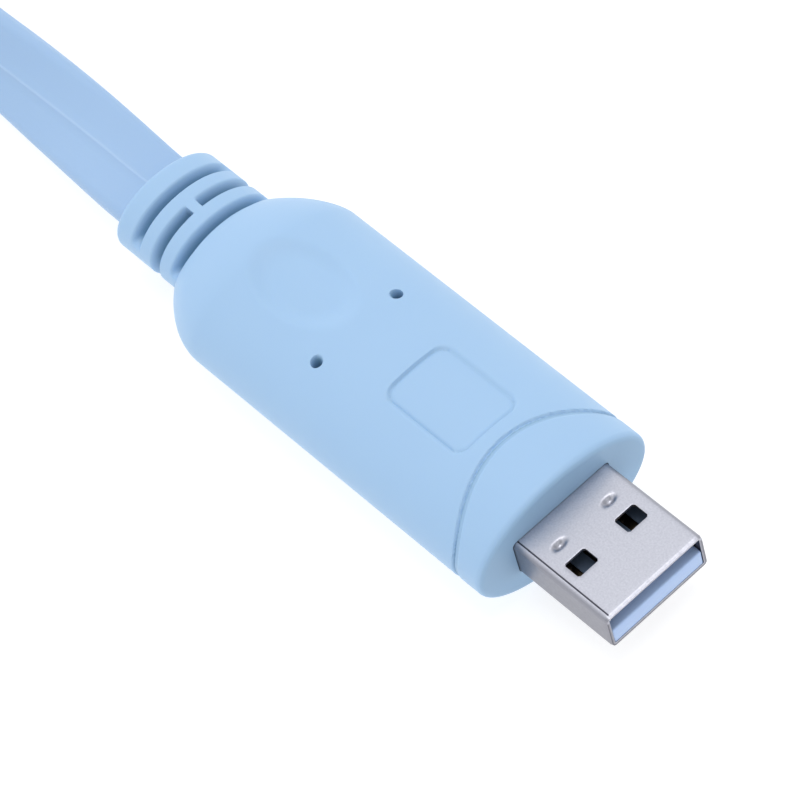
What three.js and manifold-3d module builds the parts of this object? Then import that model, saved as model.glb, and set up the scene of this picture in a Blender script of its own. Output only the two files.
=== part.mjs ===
import * as THREE from "three";
import { mergeVertices } from "three/addons/utils/BufferGeometryUtils.js";
import Module from "manifold-3d";

const wasm = await Module();
wasm.setup();

// A flat console cable: a USB-A converter plug at one end and an 8P8C plug at the other.
// Millimetres, +Z up, +X towards the tip of the USB plug, the housing resting on z = 0,
// x = 0 half way between the end of the strain relief and the tip of the USB plug.

// Housing: an elliptic body with a soft front edge and a domed rear
const housingWidth = 21.2;
const housingRearWidth = 21.6;
const housingHeight = 12;
const housingLength = 41;
const domeLength = 10;
const domeTipShare = 0.1;
const domeSteps = 12;
const frontFillet = 1;
const housingSides = 72;

// How far a cutter runs past the faces that it cuts
const cutterOverrun = 1;

// Strain relief: a smaller elliptic collar with three broken grooves
const reliefWidth = 13;
const reliefHeight = 8.3;
const reliefLength = 17.5;
const reliefFillet = 0.7;
const grooveCount = 3;
const grooveWidth = 1.7;
const groovePitch = 3.1;
const grooveDepth = 2.2;
const firstGroove = 7.2;
const sideLand = 2.2;
const topBridge = 1.4;

// Details on the top of the housing
const pinholeDiameter = 1.06;
const pinholeDepth = 2.2;
const pinholeFromFront = 27.4;
const pinholeSpacing = 10.4;
const panelLength = 10.9;
const panelWidth = 8;
const panelCorner = 1.5;
const panelDepth = 0.3;
const panelFromFront = 14.1;
const dishLength = 12.6;
const dishWidth = 7.6;
const dishDepth = 0.35;
const dishCutterDepth = 2;
const dishFromFront = 34.6;

// USB-A plug
const shellLength = 12.2;
const shellHiddenLength = 6;
const shellWidth = 12;
const shellHeight = 4.5;
const shellWall = 0.3;
const shellCorner = 0.55;
const windowLength = 2;
const windowWidth = 2.5;
const windowSpacing = 6.24;
const windowFromTip = 5.16;
const tongueThickness = 1.95;
const tongueSetback = 0.1;
const tongueSideGap = 0.1;
const tongueCorner = 0.4;
const contactWidth = 1;
const contactThickness = 0.25;
const innerContactSpacing = 2;
const outerContactSpacing = 7;
const innerContactSetback = 2.85;
const outerContactSetback = 1.85;
const seatGap = 0.3;

// Flat cable
const cableWidth = 9.2;
const cableThickness = 2.5;
const cableEdge = 1;
const cableExitHeight = 5.3;
const onEdgeHeight = 4.62;
const leadSteps = 28;
const tailSteps = 16;

// Hank: the flat cable stands on edge, turn beside turn, on two straight runs and two round ends
const hankTurns = 6;
const turnPitch = 3.3;
const outerTurnRadius = 35.5;
const hankRun = 57;
const hankFrontX = -133.5;
const hankY = -25.7;
const hankBendSteps = 24;

// Tie round the straight run of the hank that lies away from the lead
const tieWidth = 12;
const tieThickness = 0.8;
const tieCorner = 1.2;
const tieHeadHeight = 2.2;
const tieHeadLength = 6;

// 8P8C plug
const plugWidth = 11.7;
const plugLength = 21.5;
const plugHeight = 6.6;
const plugRearX = -179;
const plugNose = 0.8;
const plugStepLength = 8.5;
const plugStepDrop = 0.9;
const entryWidth = 9.8;
const entryHeight = 3.1;
const entryDepth = 7;
const entryHeightAboveFloor = 3.5;
const slotWidth = 0.6;
const slotPitch = 1.02;
const slotLength = 6.2;
const slotDepth = 1.7;
const bladeCount = 8;
const bladeThickness = 0.4;
const bladeRecess = 0.25;
const latchWidth = 6.2;
const latchTipWidth = 3.3;
const latchLength = 15;
const latchThickness = 1;
const latchRise = 2.6;
const latchRoot = 1.6;
const latchRootSink = 0.1;
const latchRootRise = 0.3;
const latchUndercut = 0.5;
const latchTipLength = 6.75;

// Derived places
const bodyLength = housingLength + reliefLength;
const overallLength = shellLength + bodyLength;
const tipX = overallLength / 2;
const frontX = tipX - shellLength;
const rearX = frontX - bodyLength;
const domeX = frontX - housingLength;
const axisZ = housingHeight / 2;
const innerTurnRadius = outerTurnRadius - hankTurns * turnPitch;
const ringOuter = outerTurnRadius + cableThickness / 2;
const ringInner = innerTurnRadius - cableThickness / 2;
const hankRearX = hankFrontX - hankRun;

const blue = new THREE.MeshStandardMaterial({ color: 0xa9cbef, roughness: 0.45, metalness: 0 });
const cableBlue = new THREE.MeshStandardMaterial({ color: 0xa8c8ee, roughness: 0.5, metalness: 0 });
const nickel = new THREE.MeshStandardMaterial({ color: 0xc9cad2, roughness: 0.3, metalness: 1 });
const tongueBlue = new THREE.MeshStandardMaterial({ color: 0xa6c4ea, roughness: 0.4, metalness: 0 });
const gold = new THREE.MeshStandardMaterial({ color: 0xd6a94a, roughness: 0.25, metalness: 1 });
const clear = new THREE.MeshStandardMaterial({ color: 0xdfe8ee, roughness: 0.1, metalness: 0 });
const strap = new THREE.MeshStandardMaterial({ color: 0x2c2f33, roughness: 0.7, metalness: 0 });

const assembly = new THREE.Group();

function addMesh(name, geometry, material, parent = assembly) {
  const mesh = new THREE.Mesh(geometry, material);
  mesh.name = name;
  parent.add(mesh);
  return mesh;
}

// Closed geometry to solid and back
function solid(geometry) {
  const bare = geometry.index ? geometry.toNonIndexed() : geometry.clone();
  bare.deleteAttribute("normal");
  bare.deleteAttribute("uv");
  const merged = mergeVertices(bare, 1e-4);
  return new wasm.Manifold(
    new wasm.Mesh({
      numProp: 3,
      vertProperties: merged.attributes.position.array,
      triVerts: new Uint32Array(merged.index.array),
    }),
  );
}

function geometryOf(body) {
  const mesh = body.getMesh();
  const geometry = new THREE.BufferGeometry();
  geometry.setAttribute("position", new THREE.BufferAttribute(mesh.vertProperties, 3));
  geometry.setIndex(new THREE.BufferAttribute(mesh.triVerts, 1));
  geometry.computeVertexNormals();
  return geometry;
}

function box(sizeX, sizeY, sizeZ, x, y, z) {
  return new THREE.BoxGeometry(sizeX, sizeY, sizeZ).translate(x, y, z);
}

// An outline in the XY plane with round corners
function roundedOutline(width, height, radius) {
  const shape = new THREE.Shape();
  const x = width / 2;
  const y = height / 2;
  shape.moveTo(-x + radius, -y);
  shape.lineTo(x - radius, -y);
  shape.absarc(x - radius, -y + radius, radius, -Math.PI / 2, 0);
  shape.lineTo(x, y - radius);
  shape.absarc(x - radius, y - radius, radius, 0, Math.PI / 2);
  shape.lineTo(-x + radius, y);
  shape.absarc(-x + radius, y - radius, radius, Math.PI / 2, Math.PI);
  shape.lineTo(-x, -y + radius);
  shape.absarc(-x + radius, -y + radius, radius, Math.PI, 1.5 * Math.PI);
  return shape;
}

// An outline drawn in (y, z) and extruded along +X from fromX
function alongX(shape, length, fromX, centreZ, curveSegments = 4) {
  const geometry = new THREE.ExtrudeGeometry(shape, {
    depth: length,
    bevelEnabled: false,
    curveSegments,
  });
  geometry.rotateX(Math.PI / 2);
  geometry.rotateZ(Math.PI / 2);
  return geometry.translate(fromX, 0, centreZ);
}

// An elliptic body along X: stations of [x, half width, half height] from rear to front
function ellipticBody(stations, sides) {
  const first = stations[0];
  const last = stations[stations.length - 1];
  const profile = [new THREE.Vector2(0, first[0])];
  stations.forEach(([x, halfWidth]) => profile.push(new THREE.Vector2(halfWidth, x)));
  profile.push(new THREE.Vector2(0, last[0]));
  const geometry = new THREE.LatheGeometry(profile, sides);
  geometry.rotateZ(-Math.PI / 2);
  const place = geometry.attributes.position;
  const squash = new Map();
  stations.forEach(([x, halfWidth, halfHeight]) => squash.set(x.toFixed(3), halfHeight / halfWidth));
  for (let i = 0; i < place.count; i++) {
    const ratio = squash.get(place.getX(i).toFixed(3)) ?? 1;
    place.setZ(i, place.getZ(i) * ratio);
  }
  return geometry.translate(0, 0, axisZ);
}

// Quarter-round steps of a fillet: [distance from the face, how far the outline is pulled in]
function filletSteps(radius, count) {
  const steps = [];
  for (let i = 0; i <= count; i++) {
    const angle = (i / count) * (Math.PI / 2);
    steps.push([radius * (1 - Math.cos(angle)), radius * (1 - Math.sin(angle))]);
  }
  return steps;
}

function housingBody() {
  const halfWidth = housingWidth / 2;
  const rearHalfWidth = housingRearWidth / 2;
  const halfHeight = housingHeight / 2;
  const stations = [];
  for (let i = 0; i <= domeSteps; i++) {
    const angle = (domeTipShare + (1 - domeTipShare) * (i / domeSteps)) * (Math.PI / 2);
    const share = Math.sin(angle);
    stations.push([domeX - domeLength * Math.cos(angle), rearHalfWidth * share, halfHeight * share]);
  }
  filletSteps(frontFillet, 5)
    .reverse()
    .forEach(([back, pull]) => stations.push([frontX - back, halfWidth - pull, halfHeight - pull]));
  return solid(ellipticBody(stations, housingSides));
}

function reliefBody() {
  const halfWidth = reliefWidth / 2;
  const halfHeight = reliefHeight / 2;
  const stations = filletSteps(reliefFillet, 3).map(([back, pull]) => [
    rearX + back,
    halfWidth - pull,
    halfHeight - pull,
  ]);
  stations.push([domeX, halfWidth, halfHeight]);
  return solid(ellipticBody(stations, housingSides));
}

// A ring round the relief, grooveDepth deep, at one groove's place
function grooveRing(fromX) {
  const big = [fromX, fromX + grooveWidth].map((x) => [x, reliefWidth, reliefWidth]);
  const core = [fromX - cutterOverrun, fromX + grooveWidth + cutterOverrun].map((x) => [
    x,
    reliefWidth / 2 - grooveDepth,
    reliefHeight / 2 - grooveDepth,
  ]);
  return solid(ellipticBody(big, 24)).subtract(solid(ellipticBody(core, 48)));
}

// The first and third grooves stop short of the sides, the middle one is bridged above and below
function groove(index) {
  const frontEdge = domeX - firstGroove - index * groovePitch;
  const fromX = frontEdge - grooveWidth;
  const middleX = fromX + grooveWidth / 2;
  const land =
    index % 2 === 0
      ? box(2 * grooveWidth, 4 * reliefWidth, sideLand, middleX, 0, axisZ)
      : box(2 * grooveWidth, topBridge, 4 * reliefWidth, middleX, 0, axisZ);
  return grooveRing(fromX).subtract(solid(land));
}

function pinhole(side) {
  const y = (side * pinholeSpacing) / 2;
  const surfaceZ = axisZ + (housingHeight / 2) * Math.sqrt(1 - (y / (housingWidth / 2)) ** 2);
  const hole = new THREE.CylinderGeometry(pinholeDiameter / 2, pinholeDiameter / 2, 2 * pinholeDepth, 20);
  hole.rotateX(Math.PI / 2);
  return solid(hole.translate(frontX - pinholeFromFront, y, surfaceZ));
}

// The panel's floor follows the housing's top, panelDepth below it
function panelRecess() {
  const outline = roundedOutline(panelLength, panelWidth, panelCorner);
  const prism = new THREE.ExtrudeGeometry(outline, {
    depth: housingHeight,
    bevelEnabled: false,
    curveSegments: 5,
  });
  prism.translate(frontX - panelFromFront, 0, axisZ);
  const reach = panelLength;
  const floor = [
    [frontX - panelFromFront - reach, housingWidth / 2 - panelDepth, housingHeight / 2 - panelDepth],
    [frontX - panelFromFront + reach, housingWidth / 2 - panelDepth, housingHeight / 2 - panelDepth],
  ];
  return solid(prism).subtract(solid(ellipticBody(floor, housingSides)));
}

// A shallow oval thumb dish, cut by a flat ellipsoid that leaves the wanted outline on a flat top
function thumbDish() {
  const rimShare = Math.sqrt(1 - (1 - dishDepth / dishCutterDepth) ** 2);
  const cutter = new THREE.SphereGeometry(1, 32, 24);
  cutter.scale(dishLength / 2 / rimShare, dishWidth / 2 / rimShare, dishCutterDepth);
  cutter.translate(frontX - dishFromFront, 0, housingHeight + dishCutterDepth - dishDepth);
  return solid(cutter);
}

function shellPocket() {
  const outline = roundedOutline(shellWidth + 2 * seatGap, shellHeight + 2 * seatGap, shellCorner);
  const depth = shellHiddenLength + seatGap;
  return solid(alongX(outline, depth + cutterOverrun, frontX - depth, axisZ));
}

function buildHousing() {
  let body = housingBody().add(reliefBody());
  for (let index = 0; index < grooveCount; index++) {
    body = body.subtract(groove(index));
  }
  for (const side of [-1, 1]) {
    body = body.subtract(pinhole(side));
  }
  body = body.subtract(panelRecess()).subtract(thumbDish()).subtract(shellPocket());
  addMesh("housing", geometryOf(body), blue);
}

function buildShell() {
  const outer = roundedOutline(shellWidth, shellHeight, shellCorner);
  const inner = roundedOutline(
    shellWidth - 2 * shellWall,
    shellHeight - 2 * shellWall,
    shellCorner - shellWall,
  );
  const length = shellLength + shellHiddenLength;
  let body = solid(alongX(outer, length, tipX - length, axisZ)).subtract(
    solid(alongX(inner, length + 2 * cutterOverrun, tipX - length - cutterOverrun, axisZ)),
  );
  const windowX = tipX - windowFromTip - windowLength / 2;
  for (const side of [-1, 1]) {
    const y = (side * windowSpacing) / 2;
    const cutter = box(windowLength, windowWidth, 2 * shellHeight, windowX, y, axisZ);
    body = body.subtract(solid(cutter));
  }
  addMesh("usb_shell", geometryOf(body), nickel);
}

// Contact places across the tongue: [name, y, setback from the tongue's front]
const contactPlaces = [
  ["usb_contact_1", -outerContactSpacing / 2, outerContactSetback],
  ["usb_contact_2", -innerContactSpacing / 2, innerContactSetback],
  ["usb_contact_3", innerContactSpacing / 2, innerContactSetback],
  ["usb_contact_4", outerContactSpacing / 2, outerContactSetback],
];

function buildTongue() {
  const width = shellWidth - 2 * shellWall - 2 * tongueSideGap;
  const bottomZ = axisZ - shellHeight / 2 + shellWall;
  const frontFace = tipX - tongueSetback;
  const rearFace = frontX - shellHiddenLength;
  const length = frontFace - rearFace;
  const outline = roundedOutline(width, tongueThickness, tongueCorner);
  let body = solid(alongX(outline, length, rearFace, bottomZ + tongueThickness / 2));
  const topZ = bottomZ + tongueThickness;
  for (const [name, y, setback] of contactPlaces) {
    const contactLength = length - setback;
    const centreX = rearFace + contactLength / 2;
    const slot = box(contactLength, contactWidth, 2 * contactThickness, centreX, y, topZ);
    body = body.subtract(solid(slot));
    const stripZ = topZ - contactThickness / 2;
    const strip = box(contactLength, contactWidth, contactThickness, centreX, y, stripZ);
    addMesh(name, strip, gold);
  }
  addMesh("usb_tongue", geometryOf(body), tongueBlue);
}

// A flat strip along a curve; turns gives its turn about the curve in degrees at each point
function flatStrip(points, turns, steps) {
  const places = points.map((point) => new THREE.Vector3(...point));
  const curve = new THREE.CatmullRomCurve3(places, false, "centripetal");
  const outline = roundedOutline(cableWidth, cableThickness, cableEdge);
  const geometry = new THREE.ExtrudeGeometry(outline, {
    depth: 1,
    steps,
    bevelEnabled: false,
    curveSegments: 2,
  });
  const place = geometry.attributes.position;
  const up = new THREE.Vector3(0, 0, 1);
  for (let i = 0; i < place.count; i++) {
    const t = THREE.MathUtils.clamp(place.getZ(i), 0, 1);
    const centre = curve.getPoint(t);
    const tangent = curve.getTangent(t);
    const left = up.clone().cross(tangent).normalize();
    const over = tangent.clone().cross(left);
    const at = t * (turns.length - 1);
    const from = Math.min(Math.floor(at), turns.length - 2);
    const turn = THREE.MathUtils.lerp(turns[from], turns[from + 1], at - from);
    const angle = THREE.MathUtils.degToRad(turn);
    const across = left.clone().multiplyScalar(Math.cos(angle)).addScaledVector(over, Math.sin(angle));
    const through = over.clone().multiplyScalar(Math.cos(angle)).addScaledVector(left, -Math.sin(angle));
    centre.addScaledVector(across, place.getX(i)).addScaledVector(through, place.getY(i));
    place.setXYZ(i, centre.x, centre.y, centre.z);
  }
  return geometry;
}

// The cable leaves the relief flat, sags, turns on edge and runs up to the hank
function buildLead() {
  const points = [
    [rearX - seatGap, 0, cableExitHeight],
    [-39.6, 0.09, 5.19],
    [-45.3, 0.45, 4.89],
    [-51, 0.83, 4.51],
    [-56.75, 1.11, 4.2],
    [-62.5, 1.3, 4],
    [-68.2, 1.4, 3.92],
    [-73.5, 1.6, 4.13],
    [-79, 2.15, 4.3],
    [-87, 3.65, 4.52],
    [-96, 5.8, onEdgeHeight],
    [-105, 7.7, onEdgeHeight],
    [-114, 8.9, onEdgeHeight],
    [-118, 9.25, onEdgeHeight],
  ];
  const turns = [0, -4.5, -13.5, -23.8, -33.5, -42, -50, -56.5, -63, -74, -83, -89, -90, -90];
  addMesh("cable_lead", flatStrip(points, turns, leadSteps), cableBlue);
}

function racetrack(path, radius) {
  path.moveTo(hankFrontX, hankY + radius);
  path.absarc(hankRearX, hankY, radius, Math.PI / 2, 1.5 * Math.PI);
  path.absarc(hankFrontX, hankY, radius, -Math.PI / 2, Math.PI / 2);
  return path;
}

const tieX = hankFrontX - hankRun / 2;
const runInnerY = hankY - ringInner;
const runOuterY = hankY - ringOuter;

function buildHank() {
  const outline = racetrack(new THREE.Shape(), ringOuter);
  outline.holes.push(racetrack(new THREE.Path(), ringInner));
  const ring = new THREE.ExtrudeGeometry(outline, {
    depth: cableWidth,
    bevelEnabled: false,
    curveSegments: hankBendSteps,
  });
  const notchWidth = tieWidth + 2 * seatGap;
  const notchHeight = tieThickness + seatGap;
  const runWidth = runInnerY - runOuterY;
  const notch = box(notchWidth, 2 * runWidth, 2 * notchHeight, tieX, (runInnerY + runOuterY) / 2, 0);
  addMesh("cable_hank", geometryOf(solid(ring).subtract(solid(notch))), cableBlue);
}

// A strap loop round the near run, with its closed end lying on top
function buildTie() {
  const innerWidth = runInnerY - runOuterY + 2 * seatGap;
  const innerHeight = cableWidth;
  const outerWidth = innerWidth + 2 * tieThickness;
  const outerHeight = innerHeight + 2 * tieThickness;
  const centreY = (runInnerY + runOuterY) / 2;
  const band = roundedOutline(outerWidth, outerHeight, tieCorner);
  band.holes.push(roundedOutline(innerWidth, innerHeight, tieCorner - tieThickness));
  const loop = alongX(band, tieWidth, tieX - tieWidth / 2, outerHeight / 2);
  loop.translate(0, centreY, 0);
  const headZ = outerHeight + tieHeadHeight / 2 - tieThickness;
  const head = box(tieWidth, tieHeadLength, tieHeadHeight, tieX, centreY, headZ);
  addMesh("hank_tie", geometryOf(solid(loop).add(solid(head))), strap);
}

// From the innermost turn the cable lies down flat and ends in the plug
function buildTail() {
  const points = [
    [-146.5, -12.85, onEdgeHeight],
    [-151.5, -14.9, onEdgeHeight],
    [-157, -17.9, onEdgeHeight],
    [-163, -21.2, 4.6],
    [-169, -23.8, 4.3],
    [-174, -25.2, 3.85],
    [plugRearX + 2, hankY, entryHeightAboveFloor],
    [plugRearX - entryDepth + 2 * seatGap, hankY, entryHeightAboveFloor],
  ];
  const turns = [-90, -88, -76, -54, -28, -9, 0, 0];
  addMesh("cable_tail", flatStrip(points, turns, tailSteps), cableBlue);
}

// Plug frame: +X towards the nose, the latch on top, the blades in the floor side
function plugBody() {
  const side = new THREE.Shape();
  side.moveTo(0, 0);
  side.lineTo(plugLength - plugNose, 0);
  side.lineTo(plugLength, plugNose);
  side.lineTo(plugLength, plugHeight - plugStepDrop);
  side.lineTo(plugLength - plugStepLength, plugHeight - plugStepDrop);
  side.lineTo(plugLength - plugStepLength - plugStepDrop, plugHeight);
  side.lineTo(0, plugHeight);
  const geometry = new THREE.ExtrudeGeometry(side, { depth: plugWidth, bevelEnabled: false });
  geometry.rotateX(Math.PI / 2);
  return solid(geometry.translate(0, plugWidth / 2, 0));
}

function latchLever() {
  const rootX = plugLength - latchRoot;
  const rootZ = plugHeight - plugStepDrop - latchRootSink;
  const tipLeverX = rootX - latchLength;
  const tipZ = rootZ + latchRise;
  const side = new THREE.Shape();
  side.moveTo(rootX, rootZ);
  side.lineTo(rootX, rootZ + latchThickness);
  side.lineTo(rootX - latchRoot, rootZ + latchThickness + latchRootRise);
  side.lineTo(tipLeverX, tipZ + latchThickness);
  side.lineTo(tipLeverX, tipZ);
  side.lineTo(rootX - latchRoot, rootZ + latchUndercut);
  side.lineTo(rootX - latchRoot, rootZ);
  const geometry = new THREE.ExtrudeGeometry(side, { depth: latchWidth, bevelEnabled: false });
  geometry.rotateX(Math.PI / 2);
  geometry.translate(0, latchWidth / 2, 0);
  const trim = (latchWidth - latchTipWidth) / 2;
  let lever = solid(geometry);
  for (const sideSign of [-1, 1]) {
    const y = sideSign * (latchTipWidth + trim + cutterOverrun) * 0.5;
    const x = tipLeverX + (latchTipLength - cutterOverrun) / 2;
    const cutterWidth = trim + cutterOverrun;
    const cutter = box(latchTipLength + cutterOverrun, cutterWidth, 3 * plugHeight, x, y, plugHeight);
    lever = lever.subtract(solid(cutter));
  }
  return lever;
}

function buildPlug() {
  const group = new THREE.Group();
  group.position.set(plugRearX, hankY, 0);
  group.rotation.z = Math.PI;
  assembly.add(group);
  let body = plugBody().add(latchLever());
  const entry = box(2 * entryDepth, entryWidth, entryHeight, 0, 0, entryHeightAboveFloor);
  body = body.subtract(solid(entry));
  for (let index = 0; index < bladeCount; index++) {
    const y = (index - (bladeCount - 1) / 2) * slotPitch;
    const slotX = plugLength + (cutterOverrun - slotLength) / 2;
    const slot = box(slotLength + cutterOverrun, slotWidth, 2 * slotDepth, slotX, y, 0);
    body = body.subtract(solid(slot));
    const bladeLength = slotLength - 2 * bladeRecess - plugNose;
    const bladeX = plugLength - slotLength + bladeRecess + bladeLength / 2;
    const bladeHeight = slotDepth - bladeRecess;
    const blade = box(bladeLength, bladeThickness, bladeHeight, bladeX, y, bladeRecess + bladeHeight / 2);
    addMesh(`rj45_contact_${index + 1}`, blade, gold, group);
  }
  addMesh("rj45_plug", geometryOf(body), clear, group);
}

buildHousing();
buildShell();
buildTongue();
buildLead();
buildHank();
buildTie();
buildTail();
buildPlug();

export default assembly;
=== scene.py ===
import math

import bmesh
import bpy
from mathutils import Matrix, Quaternion, Vector


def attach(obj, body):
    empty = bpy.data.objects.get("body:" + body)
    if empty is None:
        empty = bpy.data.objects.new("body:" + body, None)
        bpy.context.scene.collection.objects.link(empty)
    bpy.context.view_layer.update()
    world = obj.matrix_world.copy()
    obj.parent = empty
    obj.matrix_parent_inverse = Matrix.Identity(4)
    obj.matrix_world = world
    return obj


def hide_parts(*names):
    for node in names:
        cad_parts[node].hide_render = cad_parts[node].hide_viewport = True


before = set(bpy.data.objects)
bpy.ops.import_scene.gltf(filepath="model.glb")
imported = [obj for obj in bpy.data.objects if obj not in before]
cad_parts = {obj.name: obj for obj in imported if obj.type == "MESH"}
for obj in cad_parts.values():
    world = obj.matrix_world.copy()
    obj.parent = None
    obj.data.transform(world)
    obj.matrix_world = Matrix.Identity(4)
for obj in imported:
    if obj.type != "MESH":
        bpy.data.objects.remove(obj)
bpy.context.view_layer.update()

# A flat console cable: a USB-A converter plug with its strain relief, the flat cable, its tied
# hank and the clear modular plug. Sizes are in millimetres and become metres in make_object.
MM = 0.001

# Camera, in the frame of the part
CAMERA_PLACE = (182.62, -93.93, 273.93)
CAMERA_AIM = (1.63, -1.10, 6.0)
CAMERA_ROLL = -18.47
LENS_MM = 160.8
SENSOR_MM = 36.0

# Converter housing, elliptic across
SHELL_LENGTH = 12.2
HOUSING_LENGTH = 41.0
RELIEF_LENGTH = 17.5
TIP_X = (SHELL_LENGTH + HOUSING_LENGTH + RELIEF_LENGTH) / 2
FRONT_X = TIP_X - SHELL_LENGTH
DOME_X = FRONT_X - HOUSING_LENGTH
REAR_X = DOME_X - RELIEF_LENGTH
AXIS_Z = 6.0
HALF_WIDTH = 10.6
REAR_HALF_WIDTH = 10.8
HALF_HEIGHT = 6.0
DOME_LENGTH = 10.0
DOME_TOP_LENGTH = 10.6
DOME_POWER = 1.9
DOME_TOP_POWER = 1.48
FRONT_FILLET = 0.75
FRONT_FILLET_BELOW = 0.5
RELIEF_HALF_WIDTH = 6.5
RELIEF_HALF_HEIGHT = 4.15
RELIEF_FILLET = 0.7
GROOVE_STARTS = (7.2, 10.3, 13.4)
GROOVE_WIDTH = 1.7
GROOVE_DEPTH = 2.3
SIDE_LAND = 1.1
TOP_BRIDGE = 0.7
BRIDGE_Y = -0.2
SIDES = 288

# Details on top of the housing
PINHOLE_RADIUS = 0.53
PINHOLE_DEPTH = 3.2
PINHOLE_FROM_FRONT = 27.4
PINHOLE_Y = 5.2
PANEL_FROM_FRONT = 14.1
PANEL_Y = 0.15
PANEL_SIZE = (10.9, 8.0)
PANEL_CORNER = 1.5
PANEL_DEPTH = 0.2
PANEL_LINE = 0.22
PANEL_LINE_DEPTH = 0.1
DISH_FROM_FRONT = 35.0
DISH_SIZE = (13.6, 8.4)
DISH_DEPTH = 0.6
CAP_LINE_SIDE = 3.72
CAP_LINE_SWEEP = 3.42
CAP_LINE_POWER = 2.1
CAP_LINE_DEPTH = 0.24
CAP_LINE_WIDTH = 0.16
CAP_BAND = 0.75
CAP_BAND_DEPTH = 0.14

# How much shade is painted on each place of the housing and in the plug, from 0 to 1
GROOVE_PAINTED_SHADE = 0.56
FACE_PAINTED_SHADE = 0.13
CONTACT_PAINTED_SHADE = 0.01
HOLE_PAINTED_SHADE = 0.9
CAP_LINE_PAINTED_SHADE = 0.35
PANEL_LINE_PAINTED_SHADE = 0.14
RIM_PAINTED_SHADE = 0.85
INSIDE_PAINTED_SHADE = 0.8

# USB-A plug
SHELL_HIDDEN = 6.0
SHELL_WIDTH = 12.0
SHELL_HEIGHT = 4.5
SHELL_WALL = 0.3
SHELL_CORNER = 0.5
WINDOW_FROM_TIP = 5.16
WINDOW_LENGTH = 2.0
WINDOW_WIDTH = 2.5
WINDOW_Y = 3.12
WINDOW_CORNER = 0.2
SEAM_Y = -5.38
SEAM_DEPTH = 0.22
DIMPLE_BEHIND = 1.9
DIMPLE_REACH = (0.5, 0.75)
DIMPLE_DEPTH = 0.4
TONGUE_THICKNESS = 1.95
TONGUE_SETBACK = 0.1
CONTACT_YS = (-3.5, -1.0, 1.0, 3.5)
CONTACT_SETBACKS = (1.85, 2.85, 2.85, 1.85)
CONTACT_WIDTH = 1.0
CONTACT_THICKNESS = 0.25

# Flat cable and its hank
CABLE_WIDTH = 9.2
CABLE_THICKNESS = 2.5
CABLE_EDGE = 1.05
RIDGE_HEIGHT = 0.055
# Painted highlight on the cable's raised middle line, from 0 to 1
RIDGE_PAINTED_HIGHLIGHT = 0.25
HANK_TURNS = 6
TURN_PITCH = 3.3
OUTER_TURN_RADIUS = 35.5
HANK_RUN = 57.0
HANK_FRONT_X = -133.5
HANK_Y = -25.7
ON_EDGE_Z = 4.62
TIE_LIFT = 0.82
TIE_THICKNESS = 0.75
TIE_HALF_WIDTH = 6.0
TIE_X = HANK_FRONT_X - HANK_RUN / 2

# Floor, just below the lowest solid, in metres
FLOOR_Z = -0.00004

# Modular plug
PLUG_REAR_X = -179.0
PLUG_WIDTH = 11.7
PLUG_LENGTH = 21.5
PLUG_HEIGHT = 6.6
ENTRY_HEIGHT = 3.5
ENTRY_HALF_HEIGHT = 1.55
ENTRY_HALF_WIDTH = 4.9
ENTRY_DEPTH = 7.0
BLADE_COUNT = 8
BLADE_PITCH = 1.02
WIRE_RADIUS = 0.4


def smoothstep(low, high, value):
    t = min(max((value - low) / (high - low), 0.0), 1.0)
    return t * t * (3 - 2 * t)


def make_object(name, vertices, faces, material, slot, nodes=(), smooth=True):
    """A mesh from millimetre vertices, riding on the one body of the part."""
    mesh = bpy.data.meshes.new(name)
    mesh.from_pydata([tuple(c * MM for c in v) for v in vertices], [], faces)
    mesh.validate()
    mesh.materials.append(material)
    obj = bpy.data.objects.new(name, mesh)
    bpy.context.scene.collection.objects.link(obj)
    for face in mesh.polygons:
        face.use_smooth = smooth
    if nodes:
        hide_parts(*nodes)
    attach(obj, "root")
    return obj


def apply_modifiers(obj):
    graph = bpy.context.evaluated_depsgraph_get()
    mesh = bpy.data.meshes.new_from_object(obj.evaluated_get(graph))
    obj.modifiers.clear()
    obj.data = mesh


def bevel(obj, width, segments=2, angle=35):
    modifier = obj.modifiers.new("edges", "BEVEL")
    modifier.width = width * MM
    modifier.segments = segments
    modifier.limit_method = "ANGLE"
    modifier.angle_limit = math.radians(angle)
    modifier.harden_normals = False
    apply_modifiers(obj)


def auto_smooth(obj, angle=40):
    """Smooth faces with the sharper edges marked, so flat faces stay flat."""
    work = bmesh.new()
    work.from_mesh(obj.data)
    limit = math.radians(angle)
    for edge in work.edges:
        edge.smooth = not (len(edge.link_faces) == 2 and edge.calc_face_angle(0.0) > limit)
    for face in work.faces:
        face.smooth = True
    work.to_mesh(obj.data)
    work.free()


def cut(obj, cutter):
    """Takes the cutter's volume away from obj, and removes the cutter."""
    modifier = obj.modifiers.new("cut", "BOOLEAN")
    modifier.operation = "DIFFERENCE"
    modifier.solver = "EXACT"
    modifier.object = cutter
    bpy.context.view_layer.update()
    apply_modifiers(obj)
    bpy.data.objects.remove(cutter, do_unlink=True)


def loose_mesh(name, vertices, faces):
    """A helper mesh that is used up by a cut."""
    mesh = bpy.data.meshes.new(name)
    mesh.from_pydata([tuple(c * MM for c in v) for v in vertices], [], faces)
    obj = bpy.data.objects.new(name, mesh)
    bpy.context.scene.collection.objects.link(obj)
    return obj


def block_data(low, high):
    xs, ys, zs = zip(low, high)
    vertices = [(x, y, z) for x in xs for y in ys for z in zs]
    faces = [(0, 1, 3, 2), (4, 6, 7, 5), (0, 4, 5, 1), (2, 3, 7, 6), (0, 2, 6, 4), (1, 5, 7, 3)]
    return vertices, faces


def ring_faces(rings, sides, first_cap=True, last_cap=True):
    faces = []
    for i in range(rings - 1):
        for j in range(sides):
            k = (j + 1) % sides
            a, b = i * sides, (i + 1) * sides
            faces.append((a + j, a + k, b + k, b + j))
    if first_cap:
        faces.append(tuple(reversed(range(sides))))
    if last_cap:
        faces.append(tuple(range((rings - 1) * sides, rings * sides)))
    return faces


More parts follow.
